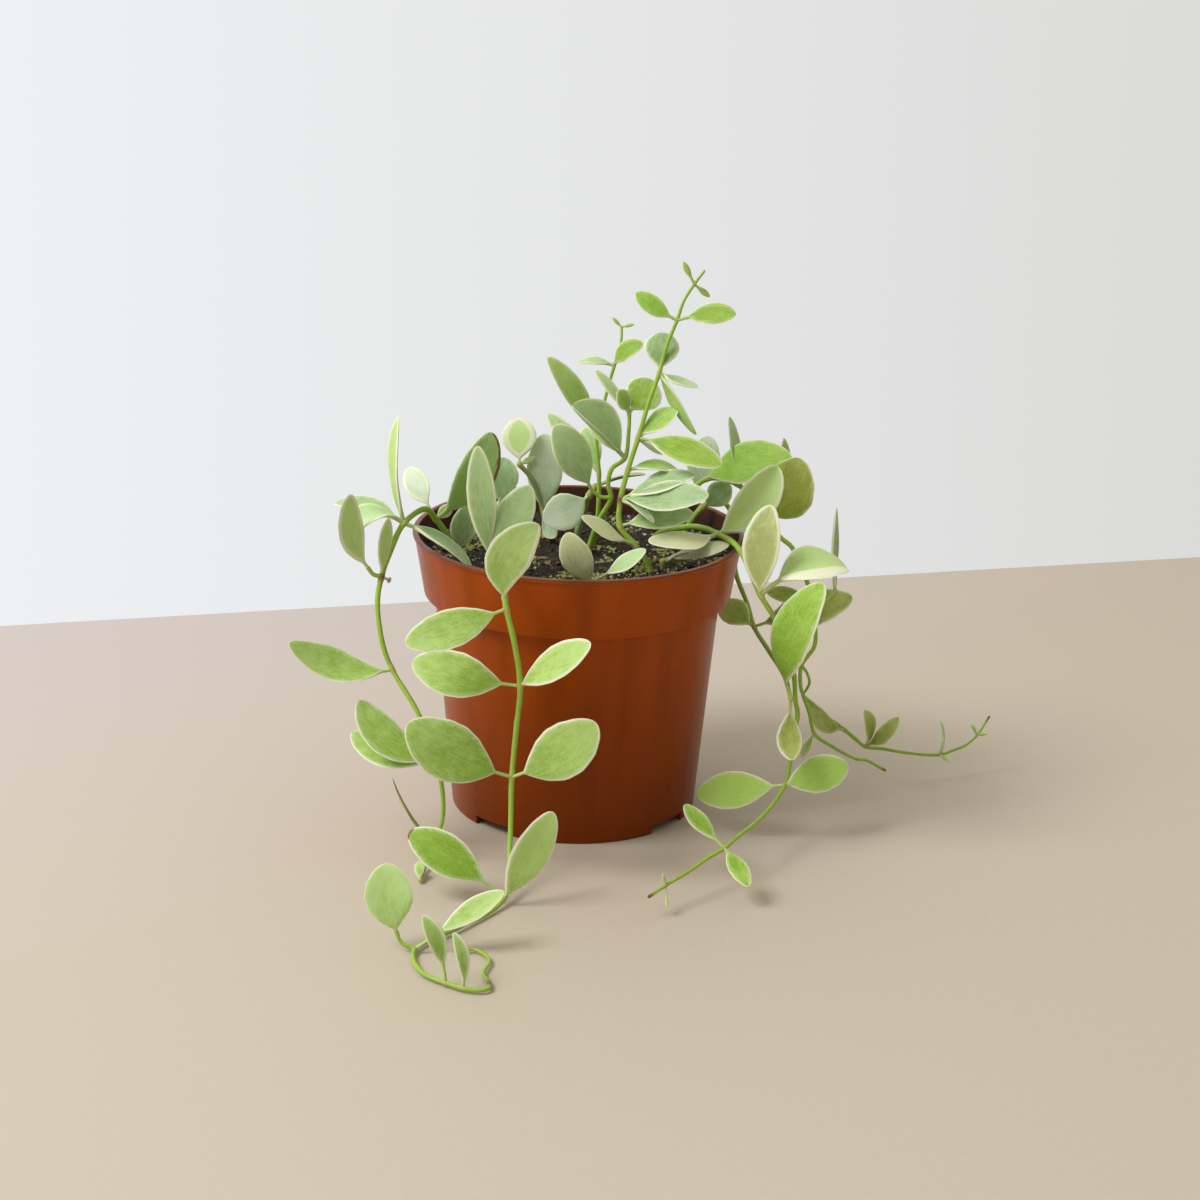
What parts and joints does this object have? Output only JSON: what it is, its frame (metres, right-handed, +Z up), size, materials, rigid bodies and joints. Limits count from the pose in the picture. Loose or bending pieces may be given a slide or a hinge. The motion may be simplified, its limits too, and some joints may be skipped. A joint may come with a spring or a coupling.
{
  "type": "potted trailing dischidia plant",
  "caption": "Trailing and climbing houseplant with small fleshy cream-edged leaves, rooted in a round plastic nursery pot.",
  "frame": {"origin": "centre of the pot's underside, on the surface it stands on", "axes": "+Z up; +X along the plant's longest spread, towards the far trailing shoot; -Y towards the shoot that trails furthest forward"},
  "size_m": [0.2273, 0.1965, 0.179],
  "materials": {
    "pot_plastic": "satin",
    "potting_soil": "matte",
    "fresh_growth": "satin",
    "mature_growth": "satin"
  },
  "bodies": {
    "root": {"pot": "pot_plastic", "soil": "potting_soil", "vine_front": "fresh_growth", "vine_left": "fresh_growth", "vine_tall": "fresh_growth", "vine_slim": "fresh_growth", "vine_middle": "fresh_growth", "vine_right": "fresh_growth", "vine_right_back": "fresh_growth", "vine_far_right": "fresh_growth", "cutting_centre": "mature_growth", "cutting_back_left": "mature_growth", "cutting_left": "mature_growth", "cutting_front": "mature_growth", "cutting_right": "mature_growth", "cutting_back_right": "mature_growth"}
  },
  "joints": []
}
